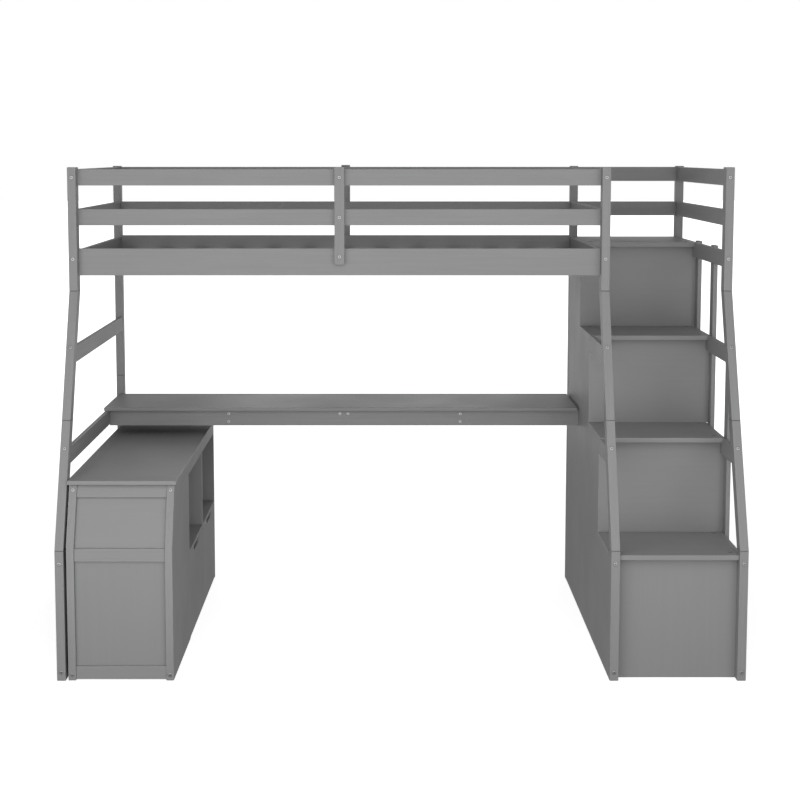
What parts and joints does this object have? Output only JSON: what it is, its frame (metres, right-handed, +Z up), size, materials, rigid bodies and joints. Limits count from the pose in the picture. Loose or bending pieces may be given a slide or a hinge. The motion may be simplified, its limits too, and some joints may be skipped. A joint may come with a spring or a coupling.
{
  "type": "loft bed with desk",
  "caption": "Raised single bed on legs that slant forward, with a desk and a low drawer cabinet beneath it and a stair with a landing at one end.",
  "frame": {"origin": "on the floor, under the middle of the whole footprint", "axes": "+X along the bed towards the stair, +Y from the front to the wall, +Z up"},
  "size_m": [2.442, 1.4768, 1.81],
  "materials": {
    "painted_wood": "satin paint",
    "slat_wood": "satin paint",
    "drawer_wood": "satin paint",
    "bolt_steel": "satin"
  },
  "bodies": {
    "frame": {"back_bed_rail": "painted_wood", "back_guard_rails": "painted_wood", "back_post_left": "painted_wood", "back_post_middle": "painted_wood", "back_post_right": "painted_wood", "bed_slats": "slat_wood", "bolt_heads": "bolt_steel", "cabinet_back_panel": "painted_wood", "cabinet_floor": "painted_wood", "cabinet_front_posts": "painted_wood", "cabinet_front_rails": "painted_wood", "cabinet_lower_panel": "painted_wood", "cabinet_outer_panel": "painted_wood", "cabinet_partitions": "painted_wood", "cabinet_shelves": "painted_wood", "cabinet_side_panel": "painted_wood", "cabinet_side_rails": "painted_wood", "cabinet_top": "painted_wood", "cabinet_upper_panel": "painted_wood", "centre_beam": "slat_wood", "centre_stiles": "painted_wood", "desk_aprons": "painted_wood", "desk_joists": "painted_wood", "desktop": "painted_wood", "drawer_runners": "slat_wood", "front_bed_rail": "painted_wood", "front_guard_rails": "painted_wood", "front_leg_left": "painted_wood", "front_leg_middle": "painted_wood", "front_leg_right": "painted_wood", "landing_board": "painted_wood", "landing_guard_rails": "painted_wood", "left_end_base_rails": "painted_wood", "left_end_guard_rails": "painted_wood", "left_end_lower_rail": "painted_wood", "left_end_mid_rail": "painted_wood", "middle_end_rails": "painted_wood", "right_end_base_rails": "painted_wood", "right_end_guard_rails": "painted_wood", "right_end_lower_rail": "painted_wood", "right_end_mid_rail": "painted_wood", "riser_1": "painted_wood", "riser_2": "painted_wood", "riser_3": "painted_wood", "riser_4": "painted_wood", "slat_ledgers": "slat_wood", "stair_cleats": "slat_wood", "stair_side_panel": "painted_wood", "stair_stiles": "painted_wood", "tread_1": "painted_wood", "tread_2": "painted_wood", "tread_3": "painted_wood"},
    "drawer_1": {"drawer_1_front": "painted_wood", "drawer_1_walls": "drawer_wood", "drawer_1_base": "drawer_wood"},
    "drawer_2": {"drawer_2_front": "painted_wood", "drawer_2_walls": "drawer_wood", "drawer_2_base": "drawer_wood"}
  },
  "joints": [
    {"name": "drawer_1_slide", "type": "slide", "parent": "frame", "child": "drawer_1", "axis": [1, 0, 0], "range_m": [0, 0.26]},
    {"name": "drawer_2_slide", "type": "slide", "parent": "frame", "child": "drawer_2", "axis": [1, 0, 0], "range_m": [0, 0.26]}
  ]
}
